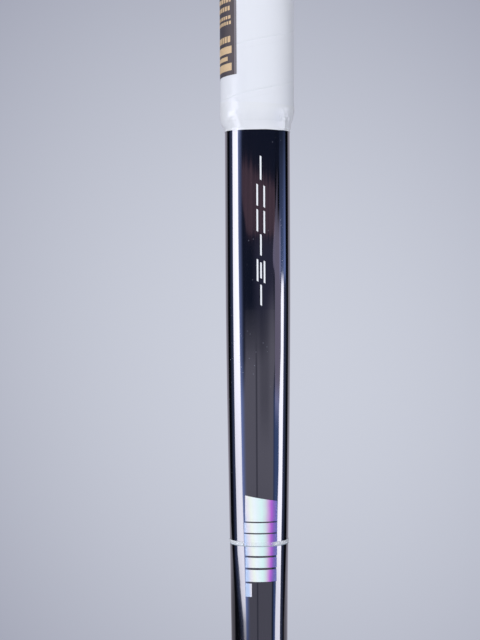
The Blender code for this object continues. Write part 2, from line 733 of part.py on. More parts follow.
def bend_to_hook(mesh):
    """Slices the flat blade across and bends it out of its plane towards the toe."""
    bm = bmesh.new()
    bm.from_mesh(mesh)
    cuts = math.ceil((BLADE_LENGTH - HOOK_START_U) / BEND_STEP)
    for u in evenly(HOOK_START_U, BLADE_LENGTH, cuts)[:-1]:
        geometry = list(bm.verts) + list(bm.edges) + list(bm.faces)
        bmesh.ops.bisect_plane(bm, geom=geometry, dist=0.000001, plane_co=(u, 0, 0), plane_no=(1, 0, 0))
    for vert in bm.verts:
        share = max(vert.co.x - HOOK_START_U, 0.0) / (BLADE_LENGTH - HOOK_START_U)
        vert.co.z += HOOK_DEPTH * share**HOOK_POWER
    bmesh.ops.triangulate(bm, faces=bm.faces)
    bm.to_mesh(mesh)
    bm.free()


def make_lattice():
    """The pierced panel and its ribs, each held inside the line where it runs into the rim."""
    held = window_outline(RIM_WIDTH - PANEL_IN_RIM)
    border = window_outline(RIM_WIDTH + WINDOW_BORDER)
    openings = flat_plate("blade_openings", opening_outlines(), 2 * RIB_THICKNESS)
    clip = flat_plate("blade_openings_limit", [border], 3 * RIB_THICKNESS)
    boolean(openings, clip, "INTERSECT")
    panel = flat_plate("blade_panel", [held], PANEL_THICKNESS)
    boolean(panel, openings, "DIFFERENCE")
    ribs = flat_plate("blade_ribs", [rib_outline(row) for row in range(1, OPENING_ROWS)], RIB_THICKNESS)
    boolean(ribs, flat_plate("blade_ribs_limit", [held], 2 * RIB_THICKNESS), "INTERSECT")
    return solid_of(panel), solid_of(ribs)


def make_blade(material):
    """Rim, pierced panel, ribs and neck joined flat, then bent, bored for the shaft and drilled."""
    frame = blade_frame()
    rim = flat_plate("blade_rim", [blade_outline(), window_outline(RIM_WIDTH)], RIM_THICKNESS, RIM_ROUNDING)
    pieces = make_lattice()
    for piece in (rim, *pieces):
        piece.matrix_world = frame
    for piece in (*pieces, make_neck_body()):
        boolean(rim, piece, "UNION")
    blade = solid_of(rim, STICK)
    blade.name = "blade"
    blade.data.materials.append(material)
    bend_to_hook(blade.data)
    boolean(blade, make_socket_cutter(), "DIFFERENCE")
    for number, height in enumerate(SCREW_HEIGHTS, start=1):
        hole = screw_cutter(f"neck_screw_hole_{number}", height, number)
        boolean(blade, hole, "DIFFERENCE")
    return blade


def main():
    gloss_black = new_material("gloss_black_shaft", (0.005, 0.005, 0.008), 0.08)
    charcoal = new_material("charcoal_blade", (0.035, 0.036, 0.040), 0.42)
    plug_black = new_material("black_plug", (0.030, 0.030, 0.033), 0.50)
    grip_white = new_material("white_grip", (0.80, 0.82, 0.87), 0.55)
    tape_white = new_material("white_tape", (0.82, 0.83, 0.86), 0.35)
    label_dark = new_material("dark_label", (0.080, 0.068, 0.066), 0.45)
    band_pale = new_material("pale_band", (0.60, 0.62, 0.64), 0.35)
    glue_amber = new_material("amber_glue", (0.62, 0.50, 0.28), 0.30)
    zinc = new_material("zinc_screw", (0.62, 0.63, 0.65), 0.35, 1.0)
    make_shaft(gloss_black)
    make_end_plug(plug_black)
    make_grip_wrap(grip_white)
    make_end_tape(tape_white)
    make_size_label(label_dark)
    make_pale_band(band_pale)
    make_blade(charcoal)
    make_neck_glue(glue_amber)
    for number, height in enumerate(SCREW_HEIGHTS, start=1):
        make_blade_screw(number, height, zinc)


main()
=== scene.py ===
"""Floorball stick: lacquered shaft, wound grip, prints and moulded blade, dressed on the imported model."""

import math

import bmesh
import bpy
import numpy as np
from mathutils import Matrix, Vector, noise


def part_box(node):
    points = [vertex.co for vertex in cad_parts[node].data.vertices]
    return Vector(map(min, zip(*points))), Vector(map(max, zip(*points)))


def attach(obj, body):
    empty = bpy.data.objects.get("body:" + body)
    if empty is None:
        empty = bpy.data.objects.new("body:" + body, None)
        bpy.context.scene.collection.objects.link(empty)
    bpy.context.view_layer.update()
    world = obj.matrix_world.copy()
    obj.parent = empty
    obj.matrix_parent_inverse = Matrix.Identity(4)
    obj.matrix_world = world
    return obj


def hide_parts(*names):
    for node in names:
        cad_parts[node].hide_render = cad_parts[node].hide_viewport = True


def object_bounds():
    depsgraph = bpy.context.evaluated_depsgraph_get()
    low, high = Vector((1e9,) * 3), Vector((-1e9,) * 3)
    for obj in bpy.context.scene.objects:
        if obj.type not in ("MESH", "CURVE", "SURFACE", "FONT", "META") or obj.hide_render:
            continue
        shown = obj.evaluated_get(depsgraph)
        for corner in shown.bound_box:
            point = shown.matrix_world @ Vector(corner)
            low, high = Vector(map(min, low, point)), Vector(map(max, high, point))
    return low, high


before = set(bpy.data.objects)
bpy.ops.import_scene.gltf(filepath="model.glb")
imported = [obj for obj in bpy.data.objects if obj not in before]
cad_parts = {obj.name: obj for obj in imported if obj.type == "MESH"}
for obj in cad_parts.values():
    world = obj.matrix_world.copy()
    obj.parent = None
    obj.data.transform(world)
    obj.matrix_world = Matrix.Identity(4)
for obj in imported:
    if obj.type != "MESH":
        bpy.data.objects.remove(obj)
CAD_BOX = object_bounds()

# Camera, in metres and degrees: a long lens in front of the shaft, just under the grip, looking a little down
LENS_MM = 100.0
SENSOR_MM = 36.0
CAMERA_SIDE = -0.0078
CAMERA_DISTANCE = 0.777
CAMERA_HEIGHT = -0.2299
CAMERA_DOWN_DEG = 2.0
CAMERA_ROLL_DEG = 0.27

# Shaft
SHAFT_WALL = 0.0018
SHAFT_STEPS_ROUND = 160
SHAFT_STEPS_ALONG = 120

# Grip strip: the upper edge of every turn lies over the lower edge of the turn above it. The first and last
# turns are cut level, and the outer face and the seam are a little uneven
STRIP_PITCH = 0.0214
STRIP_JOINT = 0.00002
STRIP_STEPS_PER_TURN = 120
STRIP_SEAM_FRONT_Z = -0.1581
STRIP_LAP = 0.0024
STRIP_LAP_HEIGHT = 0.000048
STRIP_LAP_EASE = 0.0006
STRIP_EDGE = 0.00004
STRIP_BEVEL = 0.3
STRIP_CLEARANCE = 0.0002
STRIP_LEAD_TURNS = 0.98
STRIP_LEAST_WIDTH = 0.0012
STRIP_UNEVENNESS = 0.00003
STRIP_SEAM_WANDER = 0.00016
STRIP_UNDER_TAPE = 0.00003
STRIP_PRESSED_ABOVE_TAPE = 0.0004

# Finishing tape: two layers, pulled tight round the end of the grip and run out on the shaft. Its shoulder is
# lower on the left, and its end has a low lip
TAPE_FILM = 0.00011
TAPE_THINNEST = 0.00004
TAPE_LAYER_STEP = 0.00007
TAPE_TOP_Z = -0.1635
TAPE_TOP_SLANT = 0.00098
TAPE_LOWER_LAYER_Z = -0.1709
TAPE_SHOULDER_Z = -0.1650
TAPE_LEFT_SHOULDER_Z = -0.1680
TAPE_FOOT_Z = -0.1748
TAPE_END_Z = -0.1753
TAPE_STEPS_ROUND = 480
TAPE_STEPS_ALONG = 72
TAPE_INNER_STEPS = 18
TAPE_LEFT_DEG = -100.0
TAPE_LEFT_SPREAD_DEG = 62.0
TAPE_WRINKLE = 0.000010
TAPE_EDGE_WANDER = 0.00012
TAPE_END_TILT = 0.0004
TAPE_END_TILT_DEG = -10.0
TAPE_LAYER_EASE = 0.00022
TAPE_LIP = 0.00009
TAPE_LIP_RISE = 0.0002
TAPE_LIP_WIDTH = 0.00022
TAPE_SLACK = 0.00010
TAPE_SLACK_DEG = 80.0
TAPE_SLACK_SPREAD_DEG = 26.0
TAPE_CLEARANCE = 0.00001

# Folds in the tape: turn and height of both ends, width, and height over the tape, in degrees and metres
TAPE_FOLDS = (
    (37.4, -0.1691, 42.9, -0.1706, 0.00030, 0.00020),
    (47.6, -0.1688, 50.4, -0.1704, 0.00030, 0.00026),
    (51.0, -0.1706, 53.4, -0.1742, 0.00042, 0.00040),
    (56.3, -0.1682, 57.5, -0.1690, 0.00028, 0.00018),
    (44.0, -0.1664, 47.5, -0.1680, 0.00026, 0.00010),
    (60.0, -0.1702, 64.0, -0.1740, 0.00080, -0.00030),
    (71.0, -0.1668, 76.0, -0.1700, 0.00110, 0.00018),
)

# Label on the left side of the grip, its lower edge rising a little to the front. The margin has no marks
LABEL_CLEARANCE = 0.00001
LABEL_FILM = 0.00005
LABEL_FRONT_EDGE_DEG = -33.5
LABEL_BACK_EDGE_DEG = -148.0
LABEL_FRONT_LOW_Z = -0.1512
LABEL_HEIGHT = 0.090
LABEL_RISE = 0.084
LABEL_STEPS = 96
LABEL_ROWS = 12
LABEL_MARGIN_DEG = 9.5
LABEL_BACK_MARGIN_DEG = 10.0
LABEL_TOP_MARGIN = 0.006

# Marks on the label, in metres. A bar has its height over the label's foot, its thickness and how far it
# stops short of the margin. A broken line has its height and thickness, and the lines repeat up the label
LABEL_BAR_LENGTH = 0.0150
LABEL_BARS = ((0.0020, 0.0032, 0.0), (0.0064, 0.0018, 0.0025), (0.0094, 0.0031, 0.0))
LABEL_LINES = ((0.0142, 0.0026), (0.0218, 0.0014), (0.0242, 0.0014), (0.0278, 0.0019), (0.0314, 0.0019))
LABEL_LINE_GAP = 0.00055
LABEL_LINE_RAGGED = 0.0012
LABEL_LINE_PIECES = (0.0005, 0.0012)
LABEL_LINE_PER_THICKNESS = 0.25
LABEL_LINE_END = 0.004
LABEL_REPEATS = 3
LABEL_REPEAT_HEIGHT = 0.0225

# Prints on the shaft and the label
PRINT_FILM = 0.00004
PRINT_LIFT = 0.00001
PRINT_ROW_HEIGHT = 0.004
WIDE_PRINT_STEP = 0.0006

# Band: a film a little narrower than its CAD solid, over the foil, with a grey shadow painted along its lower
# edge
BAND_TRIM = 0.0002
BAND_CLEARANCE = 0.00002
BAND_FILM = 0.00012
BAND_EDGE = 0.00005
BAND_PAINTED_SHADOW_FULL = 0.00025
BAND_PAINTED_SHADOW_END = 0.00045

# Broad lamps: turn round the stick and height in degrees, and the level each adds on a surface that faces it
LAMPS = (
    ("left_fill", -95.0, 8.0, 0.18),
    ("soft_key", -20.0, 12.0, 0.62),
    ("right_fill", 56.0, 8.0, 0.24),
    ("soft_back", 175.0, 25.0, 0.50),
)
LAMP_SPREAD_DEG = 35.0

FLOOR_RADIUS = 1.3
FLOOR_CLEAR_SHARE = 0.45
FLOOR_GAP = 0.0015
FLOOR_STEPS = 96


def mix(a, b, share):
    """The value that lies between a and b at that share of the way."""
    return a + (b - a) * share


def smooth(x):
    """Eases from 0 at x = 0 to 1 at x = 1."""
    x = min(max(x, 0.0), 1.0)
    return x * x * (3.0 - 2.0 * x)


def evenly(first, last, steps):
    """Values from first to last at equal steps."""
    return [mix(first, last, k / steps) for k in range(steps + 1)]


def bell(x, width):
    """1 at x = 0, falling away on both sides."""
    return math.exp(-((x / width) ** 2))


def centred(turn):
    """The same turn, between -180 and 180 degrees."""
    return (turn + 180.0) % 360.0 - 180.0


def carries_vector(term):
    """True where a term of a shader expression is a colour or a vector."""
    if isinstance(term, Signal):
        return term.socket.type in ("VECTOR", "RGBA")
    return isinstance(term, (tuple, Vector))


class Signal:
    """A node's output, on which Python's operators add Math or Vector Math nodes."""

    def __init__(self, recipe, socket):
        self.recipe = recipe
        self.socket = socket

    def __add__(self, other):
        return self.recipe.arithmetic("ADD", self, other)

    def __radd__(self, other):
        return self.recipe.arithmetic("ADD", other, self)

    def __sub__(self, other):
        return self.recipe.arithmetic("SUBTRACT", self, other)

    def __rsub__(self, other):
        return self.recipe.arithmetic("SUBTRACT", other, self)

    def __mul__(self, other):
        return self.recipe.arithmetic("MULTIPLY", self, other)

    def __rmul__(self, other):
        return self.recipe.arithmetic("MULTIPLY", other, self)

    def __truediv__(self, other):
        return self.recipe.arithmetic("DIVIDE", self, other)

    def __pow__(self, other):
        return self.recipe.arithmetic("POWER", self, other)

    def __abs__(self):
        return self.recipe.arithmetic("ABSOLUTE", self)

    def at_least(self, other):
        """The greater of the two."""
        return self.recipe.arithmetic("MAXIMUM", self, other)

    def at_most(self, other):
        """The smaller of the two."""
        return self.recipe.arithmetic("MINIMUM", self, other)

    def ease(self, zero_at, one_at):
        """0 at zero_at and 1 at one_at, with soft ends."""
        settings = {"interpolation_type": "SMOOTHSTEP"}
        return self.recipe.node("ShaderNodeMapRange", settings, {0: self, 1: zero_at, 2: one_at})

    def axes(self):
        """The three numbers of a vector."""
        return [self.recipe.node("ShaderNodeSeparateXYZ", {}, {0: self}, k) for k in range(3)]


class Recipe:
    """A node tree that is written as Python expressions."""

    def __init__(self, tree):
        self.tree = tree
        tree.nodes.clear()

    def node(self, kind, settings, inputs, output=0):
        """One node: its settings first, then a value or a link for each named socket."""
        made = self.tree.nodes.new(kind)
        for name, value in settings.items():
            if name == "stops":
                self.set_stops(made.color_ramp, value)
            else:
                setattr(made, name, value)
        for key, value in inputs.items():
            socket = made.inputs[key]
            if isinstance(value, Signal):
                self.tree.links.new(value.socket, socket)
            elif socket.type == "RGBA":
                socket.default_value = (*value, 1.0)
            else:
                socket.default_value = value
        return Signal(self, made.outputs[output]) if len(made.outputs) > output else made

    def set_stops(self, ramp, stops):
        """Places and colours of a colour ramp."""
        while len(ramp.elements) < len(stops):
            ramp.elements.new(1.0)
        for element, (place, colour) in zip(ramp.elements, stops):
            element.position = place
            element.color = (*colour, 1.0)

    def arithmetic(self, operation, *terms):
        """A Math node, or a Vector Math node where a term is a colour or a vector."""
        wide = any(carries_vector(term) for term in terms)
        kind = "ShaderNodeVectorMath" if wide else "ShaderNodeMath"
        values = {}
        for k, term in enumerate(terms):
            values[k] = (term,) * 3 if wide and isinstance(term, (int, float)) else term
        return self.node(kind, {"operation": operation}, values)

    def place(self):
        """The point on the piece, in metres in the part's frame."""
        return self.node("ShaderNodeTexCoord", {}, {}, 3)

    def blend(self, first, second, share):
        """A colour between two colours."""
        return self.node("ShaderNodeMix", {"data_type": "RGBA"}, {0: share, 6: first, 7: second}, 2)

    def grain(self, place, scale, detail=2.0, roughness=0.5):
        """Smooth noise from 0 to 1."""
        inputs = {"Vector": place, "Scale": scale, "Detail": detail, "Roughness": roughness}
        return self.node("ShaderNodeTexNoise", {}, inputs)

    def cells(self, place, scale):
        """Distance to the nearest of many scattered points."""
        return self.node("ShaderNodeTexVoronoi", {"feature": "F1"}, {"Vector": place, "Scale": scale})

    def turn(self, place):
        """Degrees round the stick from the front, positive to the right."""
        x, y, _ = place.axes()
        return self.arithmetic("ARCTAN2", x, 0.0 - y) * math.degrees(1.0)

    def bump(self, height, distance):
        """Relief of that height in metres where the signal is 1."""
        return self.node("ShaderNodeBump", {}, {"Strength": 1.0, "Distance": distance, "Height": height})

    def surface(self, inputs):
        """The material's shader, with constants and links set by socket name."""
        shader = self.node("ShaderNodeBsdfPrincipled", {}, inputs)
        self.node("ShaderNodeOutputMaterial", {}, {"Surface": shader})


def new_recipe(name):
    """An empty material and the recipe that fills it."""
    material = bpy.data.materials.new(name)
    material.use_nodes = True
    return material, Recipe(material.node_tree)


# Finishes, with texture scales in cells a metre and relief in metres


def black_lacquer():
    """Black gloss over fine streaks along the shaft, with a little dust."""
    material, recipe = new_recipe("gloss_black_lacquer")
    place = recipe.place()
    along = place * (1.0, 1.0, 0.012)
    streaks = recipe.grain(along, 900.0, 4.0, 0.6)
    orange_peel = recipe.grain(place, 260.0, 1.0)
    specks = recipe.cells(place, 420.0).ease(0.13, 0.05) * recipe.grain(place, 31.0).ease(0.56, 0.66)
    colour = recipe.blend((0.0016, 0.0018, 0.0032), (0.0042, 0.0044, 0.0070), streaks)
    recipe.surface({
        "Base Color": recipe.blend(colour, (0.10, 0.11, 0.14), specks),
        "Roughness": 0.035 + 0.025 * streaks + 0.25 * specks,
        "Specular IOR Level": 1.0,
        "Coat Weight": 1.0,
        "Coat Roughness": 0.015,
        "Normal": recipe.bump(orange_peel * 0.5 + streaks * 0.5, 0.000004),
    })
    return material


def white_strip():
    """Satin polyurethane: a fine leathery grain under a thin clear film."""
    material, recipe = new_recipe("white_grip_strip")
    place = recipe.place()
    pores = recipe.cells(place, 1500.0).ease(0.0, 0.55)
    clouds = recipe.grain(place * (1.0, 1.0, 0.35), 70.0, 3.0)
    handling = recipe.grain(place, 24.0, 4.0, 0.6).ease(0.55, 0.80)
    colour = recipe.blend((0.735, 0.765, 0.845), (0.785, 0.805, 0.865), clouds)
    recipe.surface({
        "Base Color": recipe.blend(colour, (0.715, 0.730, 0.790), handling * 0.5),
        "Roughness": 0.58 + 0.10 * clouds,
        "Specular IOR Level": 0.20,
        "Coat Weight": 0.24 + 0.10 * clouds,
        "Coat Roughness": 0.09,
        "Normal": recipe.bump(pores * 0.6 + clouds * 0.4, 0.000015),
    })
    return material


def white_film():
    """Satin stretched tape with fine drawn lines."""
    material, recipe = new_recipe("white_tape_film")
    place = recipe.place()
    drawn = recipe.grain(place * (1.0, 1.0, 0.12), 620.0, 3.0)
    clouds = recipe.grain(place, 90.0, 2.0)
    colour = recipe.blend((0.730, 0.755, 0.815), (0.790, 0.810, 0.860), clouds)
    recipe.surface({
        "Base Color": colour,
        "Roughness": 0.36 + 0.16 * drawn,
        "Specular IOR Level": 0.30,
        "Coat Weight": 0.42,
        "Coat Roughness": 0.02,
        "Normal": recipe.bump(drawn, 0.000014),
    })
    return material


def label_film():
    """Dark printed film with a grey margin along its front edge."""
    material, recipe = new_recipe("dark_label_film")
    place = recipe.place()
    turn = recipe.turn(place)
    margin = turn.ease(LABEL_FRONT_EDGE_DEG - 4.9, LABEL_FRONT_EDGE_DEG - 3.4)
    clouds = recipe.grain(place, 160.0, 3.0)
    ink = recipe.blend((0.070, 0.059, 0.065), (0.096, 0.083, 0.090), clouds)
    ink = recipe.blend((0.046, 0.042, 0.050), ink, turn.ease(-72.0, -44.0))
    recipe.surface({
        "Base Color": recipe.blend(ink, (0.205, 0.190, 0.215), margin),
        "Roughness": 0.48 + 0.10 * clouds,
        "Specular IOR Level": 0.15,
        "Normal": recipe.bump(clouds, 0.000015),
    })
    return material


def gold_print():
    """Matt gold ink with fine flakes."""
    material, recipe = new_recipe("gold_print")
    place = recipe.place()
    flakes = recipe.cells(place, 2600.0).ease(0.0, 0.6)
    recipe.surface({
        "Base Color": recipe.blend((0.54, 0.385, 0.215), (0.63, 0.465, 0.280), flakes),
        "Roughness": 0.46 + 0.12 * flakes,
        "Metallic": 0.10,
        "Normal": recipe.bump(flakes, 0.000010),
    })
    return material


def white_print():
    """White ink under clear lacquer."""
    material, recipe = new_recipe("white_print")
    place = recipe.place()
    clouds = recipe.grain(place, 700.0, 2.0)
    recipe.surface({
        "Base Color": recipe.blend((0.83, 0.86, 0.92), (0.90, 0.93, 0.98), clouds),
        "Roughness": 0.32 + 0.10 * clouds,
        "Coat Weight": 0.6,
        "Coat Roughness": 0.05,
    })
    return material


# Painted diffraction sheen: the rainbow colours the foil shows under light, fixed into its colour from left
# to right, by share of its width
FOIL_PAINTED_SHEEN = (
    (0.00, (0.42, 0.54, 0.74)),
    (0.12, (0.47, 0.59, 0.84)),
    (0.21, (0.74, 0.72, 0.80)),
    (0.30, (0.80, 0.87, 0.80)),
    (0.38, (0.79, 0.87, 0.92)),
    (0.54, (0.63, 0.85, 0.84)),
    (0.62, (0.60, 0.66, 0.73)),
    (0.685, (0.58, 0.34, 0.68)),
    (0.745, (0.44, 0.11, 0.62)),
    (0.80, (0.24, 0.11, 0.48)),
    (0.86, (0.15, 0.13, 0.41)),
    (1.00, (0.13, 0.15, 0.38)),
)

# Where the foil's painted colours begin and end round the shaft, and the foil's top and height
FOIL_LEFT_DEG = -32.5
FOIL_RIGHT_DEG = 40.0
FOIL_CENTRE_DEG = 4.0
FOIL_TOP_Z = -0.3325
FOIL_DROP = 0.0441


def rainbow_foil():
    """Foil printed in bars, whose rainbow diffraction sheen is painted into its colour and runs round the
    shaft.
    """
    material, recipe = new_recipe("rainbow_foil")
    place = recipe.place()
    turn = recipe.turn(place)
    ripple = recipe.grain(place, 210.0, 2.0) * 0.05 - 0.025
    _, _, z = place.axes()
    above_foot = z - (FOIL_TOP_Z - FOIL_DROP)
    narrower = 0.90 + 9.0 * above_foot
    spread = (turn - FOIL_CENTRE_DEG) / narrower + FOIL_CENTRE_DEG
    across = (spread - FOIL_LEFT_DEG) / (FOIL_RIGHT_DEG - FOIL_LEFT_DEG) + ripple
    across = across + 1.1 * (above_foot - 0.016).at_least(0.0)
    grating = recipe.grain(place * (1.0, 1.0, 9.0), 1400.0, 1.0)
    # Painted sheen: the foil's diffraction colours are set by the turn round the shaft, not by the light
    painted_sheen = recipe.node("ShaderNodeValToRGB", {"stops": FOIL_PAINTED_SHEEN}, {"Fac": across})
    recipe.surface({
        "Base Color": painted_sheen,
        "Roughness": 0.32 + 0.14 * grating,
        "Specular IOR Level": 0.30,
        "Coat Weight": 0.4,
        "Coat Roughness": 0.05,
        "Normal": recipe.bump(grating, 0.000004),
    })
    return material


def band_film():
    """Pale see-through film, clearest over the foil, with a grey shadow painted along its lower edge."""
    material, recipe = new_recipe("pale_band_film")
    place = recipe.place()
    clouds = recipe.grain(place, 400.0, 2.0)
    turn = recipe.turn(place)
    _, _, z = place.axes()
    over_foil = turn.ease(FOIL_LEFT_DEG - 2.0, FOIL_LEFT_DEG + 2.0) * turn.ease(36.0, 22.0)
    # Painted shadow: the band's lower edge turns grey and stays opaque, as the shade under a raised edge
    # would
    edge = z.ease(BAND_LOW_Z + BAND_PAINTED_SHADOW_END, BAND_LOW_Z + BAND_PAINTED_SHADOW_FULL)
    colour = recipe.blend((0.76, 0.80, 0.87), (0.84, 0.87, 0.92), clouds)
    recipe.surface({
        "Base Color": recipe.blend(colour, (0.38, 0.45, 0.52), edge),
        "Roughness": 0.38 + 0.10 * clouds,
        "Alpha": (0.62 + 0.10 * clouds) * (1.0 - 0.85 * over_foil * (1.0 - edge)),
        "Normal": recipe.bump(clouds, 0.000008),
    })
    return material


def moulded_plastic(name, shades, spark_scale, roughness):
    """Plastic with a fine eroded mould texture, between a dark and a light shade."""
    material, recipe = new_recipe(name)
    place = recipe.place()
    texture = recipe.grain(place, spark_scale, 3.0, 0.65)
    clouds = recipe.grain(place, 38.0, 3.0)
    scuffs = recipe.grain(place * (1.0, 3.0, 0.6), 55.0, 5.0, 0.7).ease(0.60, 0.72)
    recipe.surface({
        "Base Color": recipe.blend(*shades, clouds * 0.5 + texture * 0.5),
        "Roughness": roughness + 0.14 * texture + 0.10 * scuffs,
        "Specular IOR Level": 0.45,
        "Normal": recipe.bump(texture + scuffs * 0.2, 0.000060),
    })
    return material


def amber_glue():
    """Cloudy, slightly see-through hot-melt glue."""
    material, recipe = new_recipe("amber_hot_melt_glue")
    place = recipe.place()
    clouds = recipe.grain(place, 240.0, 3.0)
    recipe.surface({
        "Base Color": recipe.blend((0.50, 0.37, 0.17), (0.70, 0.58, 0.36), clouds),
        "Roughness": 0.30 + 0.18 * clouds,
        "Subsurface Weight": 0.25,
        "Subsurface Radius": (0.0010, 0.0006, 0.0003),
        "Normal": recipe.bump(clouds, 0.000050),
    })
    return material


def zinc_plate():
    """Zinc plate with turning marks."""
    material, recipe = new_recipe("zinc_plated_steel")
    place = recipe.place()
    turned = recipe.grain(place * (1.0, 0.2, 1.0), 2400.0, 2.0)
    clouds = recipe.grain(place, 600.0, 3.0)
    recipe.surface({
        "Base Color": recipe.blend((0.50, 0.51, 0.53), (0.72, 0.73, 0.74), clouds),
        "Roughness": 0.24 + 0.18 * turned,
        "Metallic": 1.0,
        "Normal": recipe.bump(turned, 0.000010),
    })
    return material


# Mesh building


class Shell:
    """Corners and faces of one piece while it is built."""

    def __init__(self):
        self.corners = []
        self.faces = []

    def loft(self, rings, closed=False):
        """Joins rings of equal length. A closed loft runs back to its first ring, an open one is capped."""
        first = len(self.corners)
        count = len(rings[0])
        for ring in rings:
            self.corners.extend(tuple(point) for point in ring)
        pairs = len(rings) if closed else len(rings) - 1
        for i in range(pairs):
            low = first + i * count
            high = first + (i + 1) % len(rings) * count
            for j in range(count):
                k = (j + 1) % count
                self.faces.append((low + j, low + k, high + k, high + j))
        if not closed:
            self.faces.append(tuple(first + j for j in reversed(range(count))))
            self.faces.append(tuple(first + (len(rings) - 1) * count + j for j in range(count)))

    def piece(self, name, material, slot, sharp_deg=40.0):
        """The finished object, its faces turned outward, riding on the stick's one body."""
        mesh = bpy.data.meshes.new(name)
        mesh.from_pydata(self.corners, [], self.faces)
        form = bmesh.new()
        form.from_mesh(mesh)
        bmesh.ops.recalc_face_normals(form, faces=form.faces)
        form.to_mesh(mesh)
        form.free()
        mesh.shade_smooth()
        mesh.set_sharp_from_angle(angle=math.radians(sharp_deg))
        mesh.materials.append(material)
        made = bpy.data.objects.new(name, mesh)
        bpy.context.scene.collection.objects.link(made)
        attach(made, "root")
        return made


def around(turn_deg, radius, height):
    """The point at that many degrees round from the front, positive to the right."""
    turn = math.radians(turn_deg)
    return (radius * math.sin(turn), -radius * math.cos(turn), height)


def turned_shell(profile, steps):
    """A closed ring of sections. profile gives a section's (radius, height) points for a turn in degrees."""
    shell = Shell()
    rings = []
    for k in range(steps):
        turn = 360.0 * k / steps
        rings.append([around(turn, radius, height) for radius, height in profile(turn)])
    shell.loft(rings, closed=True)
    return shell


def outer_profile(node):
    """Heights and outer radii of a turned CAD node, from its lowest to its highest corner."""
    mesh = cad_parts[node].data
    corners = np.empty(len(mesh.vertices) * 3)
    mesh.vertices.foreach_get("co", corners)
    corners = corners.reshape(-1, 3)
    radii = np.hypot(corners[:, 0], corners[:, 1])
    widest = {}
    for height, radius in zip(np.round(corners[:, 2], 5), radii):
        widest[height] = max(radius, widest.get(height, 0.0))
    heights = sorted(widest)
    return np.array(heights), np.array([widest[height] for height in heights])


SHAFT_HEIGHTS, SHAFT_RADII = outer_profile("shaft")
GRIP_LOW, GRIP_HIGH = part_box("grip_wrap")
GRIP_RADIUS = (GRIP_HIGH.x - GRIP_LOW.x) / 2
BAND_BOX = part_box("pale_band")
BAND_LOW_Z = BAND_BOX[0].z + BAND_TRIM
BAND_HIGH_Z = BAND_BOX[1].z - BAND_TRIM


def shaft_radius(height):
    """Outer radius of the shaft's CAD solid."""
    return float(np.interp(height, SHAFT_HEIGHTS, SHAFT_RADII))


# Pieces


def make_shaft(material):
    """The tube, with a true round section and the taper of its CAD solid."""
    rows = (*evenly(SHAFT_HEIGHTS[0], SHAFT_HEIGHTS[-1], SHAFT_STEPS_ALONG), *SHAFT_HEIGHTS)
    heights = sorted({round(float(height), 7) for height in rows})
    outside = [(shaft_radius(height), height) for height in heights]
    inside = [(shaft_radius(height) - SHAFT_WALL, height) for height in (heights[-1], heights[0])]
    section = outside + inside
    shell = turned_shell(lambda turn: section, SHAFT_STEPS_ROUND)
    shaft = shell.piece("shaft_tube", material, "gloss_black_shaft")
    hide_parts("shaft")


def tape_top(turn):
    """Height of the tape's upper edge."""
    return TAPE_TOP_Z - TAPE_TOP_SLANT * math.sin(math.radians(turn))


def pulled_radius(turn, height):
    """Radius to which the tape pulls the end of the grip in."""
    late = bell(centred(turn - TAPE_LEFT_DEG), TAPE_LEFT_SPREAD_DEG)
    shoulder = mix(TAPE_SHOULDER_Z, TAPE_LEFT_SHOULDER_Z, late)
    share = min(max((shoulder - height) / (shoulder - TAPE_FOOT_Z), 0.0), 1.0)
    return mix(GRIP_RADIUS, shaft_radius(height), smooth(share ** (1.0 + late)))


def strip_section(low, high, inner, outer):
    """Across the strip: plain below, and raised along its upper edge, where it lies over the next turn."""
    width = high - low
    edge = min(STRIP_EDGE, width / 4)
    bevel = edge * STRIP_BEVEL
    points = [(inner, low), (outer - edge, low), (outer - bevel, low + bevel), (outer, low + edge)]
    lap_start = high - min(STRIP_LAP + STRIP_LAP_EASE, width / 2)
    for share in evenly(0.05, 0.95, 5):
        points.append((outer, mix(low, lap_start, share)))
    lap_ease = min(STRIP_LAP_EASE, width / 4)
    for share in evenly(0.0, 1.0, 4):
        points.append((outer + STRIP_LAP_HEIGHT * smooth(share), lap_start + lap_ease * share))
    lapped = outer + STRIP_LAP_HEIGHT
    points.append((lapped, mix(points[-1][1], high, 0.6)))
    points += [(lapped, high - edge), (lapped - bevel, high - bevel), (lapped - edge, high), (inner, high)]
    return points


def make_grip_strip(material):
    """One strip wound up the whole grip."""
    low_end, high_end = GRIP_LOW.z, GRIP_HIGH.z
    inner = shaft_radius(low_end) + STRIP_CLEARANCE
    seam_turns = (STRIP_SEAM_FRONT_Z - low_end) / STRIP_PITCH
    first = -math.floor(STRIP_STEPS_PER_TURN * STRIP_LEAD_TURNS)
    last = math.ceil((high_end - low_end) / STRIP_PITCH * STRIP_STEPS_PER_TURN)
    rings = []
    for k in range(first, last):
        turns = k / STRIP_STEPS_PER_TURN
        low = low_end + STRIP_PITCH * turns
        high = low + STRIP_PITCH - STRIP_JOINT
        low, high = max(low, low_end), min(high, high_end)
        if high - low < STRIP_LEAST_WIDTH:
            continue
        turn = 360.0 * (turns - seam_turns)
        ring = []
        for radius, height in strip_section(low, high, inner, GRIP_RADIUS):
            if radius > inner:
                radius += noise.noise(Vector(around(turn, 1.0, height * 60.0)) * 2.2) * STRIP_UNEVENNESS
            if height < tape_top(turn) + STRIP_PRESSED_ABOVE_TAPE:
                radius = max(inner, min(radius, pulled_radius(turn, height) - STRIP_UNDER_TAPE))
            wave = noise.noise(Vector(around(turn, 1.3, height * 30.0))) * STRIP_SEAM_WANDER
            ring.append(around(turn, radius, height + wave))
        rings.append(ring)
    shell = Shell()
    shell.loft(rings)
    strip = shell.piece("grip_strip", material, "white_grip")
    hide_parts("grip_wrap")


